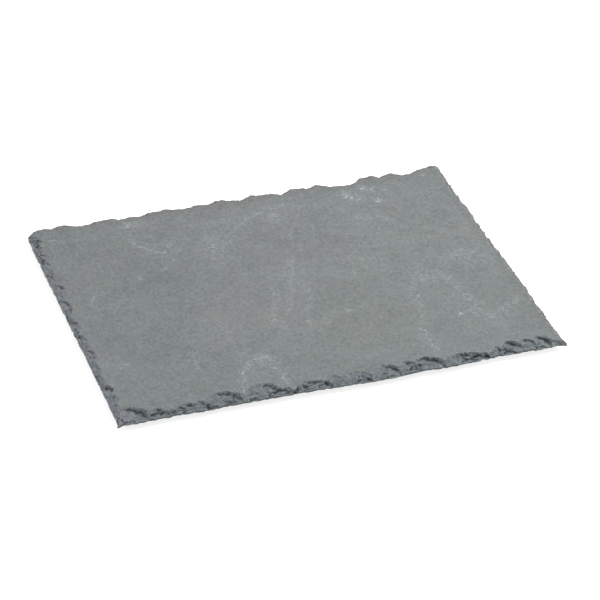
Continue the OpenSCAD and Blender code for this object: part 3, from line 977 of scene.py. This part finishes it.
def finish_surface(shade, **values):
    """The Principled surface with these values or links, each underline in a name read as a space."""
    inputs = {name.replace("_", " "): value for name, value in values.items()}
    surface = shade.node("ShaderNodeBsdfPrincipled", (), inputs)
    shade.node("ShaderNodeOutputMaterial", (), {"Surface": surface})


def relief(shade, height):
    """The normal of a surface whose fine relief is height millimetres."""
    return shade.node("ShaderNodeBump", (), {"Height": height, "Distance": MM, "Strength": 1.0})


# Slate: the share of the way from dark to pale stone that a screen level is, on the face and on broken
# stone, the tints' strength and clouds, how far threads stray, and where along x, in metres, the left
# side's broken stone turns paler, which is painted light
FACE_LEVEL_SHARE = 0.029
BROKEN_LEVEL_SHARE = 0.014
TINT_SHARE = 0.13
TINT_CLOUDS = 6.0
THREAD_STRAY = 9.0
LEFT_PAINTED_LIGHT_X = (-0.186, -0.176)


def slate_material():
    """Riven slate: a face from dark to pale by its tone, with four tints and the clefts' pale strokes, dabs
    and threads, and layered broken stone where cut is 1, painted paler on the left side as painted light.
    Then stained rims with pale bits and dark chips, painted shade in the hollows, and pale crests that are
    partly crushed stone and partly painted highlight."""
    material, shade, place = new_material("slate")
    x = shade.node("ShaderNodeSeparateXYZ", (), {"Vector": place}, out="X")
    cut, gap, show, halo, hollow, rim, level = (
        shade.kept(name) for name in ("cut", "cleft_gap", "cleft_show", "halo", "hollow", "rim", "tone"))

    clouds = shade.noise(place, 70, 3) - 0.5
    patches = shade.noise(place, 13, 3) - 0.5
    grain = shade.noise(place, 3.2, 4, 0.66, stretch=(0.85, 1.3, 1)) - 0.5
    mottle = shade.noise(place, 7, 2, stretch=(0.9, 1.2, 1)) - 0.5
    tone = 0.5 + 0.35 * clouds + 0.6 * patches + 0.55 * mottle + 2.2 * grain + FACE_LEVEL_SHARE * level
    face = shade.mixed(tone.clamped(), screen(116, 121, 122), screen(151, 157, 158))
    warm = shade.kept("warm") + TINT_CLOUDS * (shade.noise(place, 13, 2) - 0.5)
    violet = shade.kept("violet") + TINT_CLOUDS * (shade.noise(place, 14, 2, stretch=(0.7, 1.3, 1)) - 0.5)
    for amount, tint in ((warm, screen(148, 141, 141)), (warm * -1.0, screen(130, 146, 142)),
                         (violet, screen(138, 139, 150)), (violet * -1.0, screen(141, 144, 131))):
        face = shade.mixed((TINT_SHARE * amount).clamped(), face, tint)

    wave = shade.noise(place, 6.5, 2, 0.55) - 0.5
    strokes = (1 - abs(wave).between(0.006, 0.035)) * shade.noise(place, 3.6, 2).between(0.38, 0.58)
    dabs = shade.noise(place, 3.4, 3, 0.65).between(0.52, 0.68)
    strewn = halo + 0.25 * shade.noise(place, 26, 2).between(0.48, 0.66)
    line = 1 - abs(gap + THREAD_STRAY * wave).between(0.1, 0.9)
    thread = shade.noise(place, 6, 2).between(0.35, 0.52) * show * line
    marked = 0.03 * halo + strewn * (0.02 + 0.62 * strokes + 0.22 * dabs) + 0.27 * thread
    face = shade.mixed(marked.clamped(), face, screen(190, 199, 197))

    strata = shade.noise(place, 1.0, 4, 0.6, stretch=(5, 5, 0.35))
    crumbs = shade.noise(place, 1.6, 3, 0.7)
    layers = 0.5 + 1.5 * (strata - 0.5) + 1.4 * (crumbs - 0.5) + BROKEN_LEVEL_SHARE * level
    front = shade.mixed(layers.clamped(), screen(93, 101, 106), screen(153, 160, 163))
    # Painted light: the left side's broken stone, which gets little of the key light, is painted paler than
    # the front's
    left = shade.mixed(layers.clamped(), screen(108, 113, 121), screen(162, 167, 172))
    broken_stone = shade.mixed(1 - x.between(*LEFT_PAINTED_LIGHT_X), front, left)
    colour = shade.mixed(cut, face, broken_stone)

    stain = rim * (0.1 + 0.72 * crumbs.between(0.42, 0.58))
    colour = shade.mixed(stain, colour, screen(126, 112, 102))
    bits = shade.noise(place, 2.6, 3, 0.6)
    colour = shade.mixed(0.42 * rim * bits.between(0.55, 0.66), colour, screen(178, 180, 176))
    chipped = rim.between(0.48, 0.6) * (1 - bits.between(0.42, 0.52))
    colour = shade.mixed(0.6 * chipped, colour, screen(84, 76, 72))
    # Painted shade: hollows and the feet of walls are darkened towards a dark grey
    colour = shade.mixed(0.87 * hollow.between(0.05, 0.56), colour, screen(50, 55, 60))
    # Pale crests: partly crushed stone, partly a painted highlight on the ridges
    crushed_and_highlit_crest = (1 - hollow.between(-0.45, -0.06)) * crumbs.between(0.5, 0.64)
    colour = shade.mixed(0.55 * crushed_and_highlit_crest, colour, screen(190, 195, 197))

    lumps = shade.noise(place, 5, 3) - 0.5
    face_bumps = 0.10 * lumps + 0.07 * grain
    broken_bumps = 0.28 * (strata - 0.5) + 0.2 * (crumbs - 0.5)
    bumps = face_bumps * (1 - cut) + broken_bumps * cut
    finish_surface(shade, Base_Color=colour, Roughness=0.6 + 0.15 * cut + 0.25 * grain,
                   Specular_IOR_Level=0.32, Normal=relief(shade, bumps))
    return material


# How high dust lies on the feet, in metres
DUST_TOP_Z = 0.0016


def rubber_material():
    """Black moulded rubber with a fine matt grain and a little grey dust low on its sides."""
    material, shade, place = new_material("rubber")
    height = shade.node("ShaderNodeSeparateXYZ", (), {"Vector": place}, out="Z")
    grain = shade.noise(place, 0.35, 3, 0.6)
    scuffs = shade.noise(place, 2.2, 4, 0.65).between(0.48, 0.72)
    worn = scuffs * (1 - height.between(0.0, DUST_TOP_Z))
    colour = shade.mixed(0.25 * grain, screen(30, 30, 31), screen(52, 52, 53))
    colour = shade.mixed(0.5 * worn, colour, screen(96, 95, 92))
    finish_surface(shade, Base_Color=colour, Roughness=0.5 + 0.2 * grain + 0.15 * worn,
                   Specular_IOR_Level=0.4, Normal=relief(shade, 0.03 * grain))
    return material


def adhesive_material():
    """Pale double-sided foam adhesive: tiny cells in a yellowish grey."""
    material, shade, place = new_material("adhesive")
    cells = shade.noise(place, 0.4, 3, 0.6)
    patches = shade.noise(place, 4, 2)
    colour = shade.mixed(cells.between(0.35, 0.65), screen(188, 180, 158), screen(212, 206, 186))
    colour = shade.mixed(0.3 * patches, colour, screen(170, 164, 148))
    finish_surface(shade, Base_Color=colour, Roughness=0.55 + 0.25 * patches,
                   Specular_IOR_Level=0.3, Normal=relief(shade, 0.03 * cells))
    return material


# Surroundings

# The floor's half side, the white that it glows with, and the even light
FLOOR_HALF = 3000.0
FLOOR_GLOW = 0.75
AMBIENT_COLOUR = (1.0, 1.0, 1.0)
AMBIENT_LEVEL = 0.31


def seen_directly(shade):
    """1 on rays from the camera, a mirror or glass, and 0 on rays that only carry light."""
    rays = [shade.node("ShaderNodeLightPath", out=name)
            for name in ("Is Camera Ray", "Is Glossy Ray", "Is Transmission Ray")]
    return (rays[0] + rays[1] + rays[2]).clamped()


def make_floor():
    """A large white sheet under the feet, with enough glow of its own to look white where it is lit."""
    corners = np.array([[-1, -1, 0], [1, -1, 0], [1, 1, 0], [-1, 1, 0]]) * FLOOR_HALF
    floor = make_object("floor", corners, np.array([[0, 1, 2], [0, 2, 3]]))
    material, shade, _ = new_material("floor")
    glow = shade.mixed(seen_directly(shade), (0, 0, 0, 1), (FLOOR_GLOW, FLOOR_GLOW, FLOOR_GLOW, 1))
    finish_surface(shade, Base_Color=(0.85, 0.85, 0.85, 1), Roughness=0.9, Specular_IOR_Level=0.0,
                   Emission_Color=glow, Emission_Strength=1.0)
    floor.data.materials.append(material)


def make_world():
    """A white surround to look at, and an even soft light of a level below it."""
    world = bpy.data.worlds.new("surround")
    world.use_nodes = True
    world.node_tree.nodes.clear()
    shade = Shade(world.node_tree)
    ambient, white = (shade.node("ShaderNodeBackground", (), {"Color": (*colour, 1), "Strength": level})
                      for colour, level in ((AMBIENT_COLOUR, AMBIENT_LEVEL), ((1, 1, 1), 1.0)))
    both = shade.node("ShaderNodeMixShader", (), {0: seen_directly(shade), 1: ambient, 2: white})
    shade.node("ShaderNodeOutputWorld", (), {"Surface": both})
    bpy.context.scene.world = world


def make_softbox(name, azimuth, elevation, distance, side, level):
    """A square lamp that faces the board. It gives a board that lies flat the level times the light in which
    a colour shows as written."""
    a, e = math.radians(azimuth), math.radians(elevation)
    away = np.array([math.cos(a) * math.cos(e), math.sin(a) * math.cos(e), math.sin(e)])
    lamp = bpy.data.lights.new(name, "AREA")
    lamp.shape = "SQUARE"
    lamp.size = side * MM
    lamp.energy = level * math.pi ** 2 * (distance * MM) ** 2 / math.sin(e)
    stand(name, lamp, np.array([-math.sin(a), math.cos(a), 0.0]), away, away * distance)


def build():
    """The camera, the pieces with their materials, and what stands round them."""
    make_camera()
    build_slab().data.materials.append(slate_material())
    rubber, adhesive = rubber_material(), adhesive_material()
    for foot_node, adhesive_node in zip(FOOT_NODES, ADHESIVE_NODES):
        build_foot(foot_node).data.materials.append(rubber)
        build_adhesive(adhesive_node).data.materials.append(adhesive)
    make_floor()
    make_world()
    make_softbox("key", azimuth=16, elevation=40, distance=4000, side=1200, level=0.51)
    make_softbox("fill", azimuth=152, elevation=20, distance=4000, side=1500, level=0.05)
    bpy.context.scene.view_settings.view_transform = "Standard"


build()
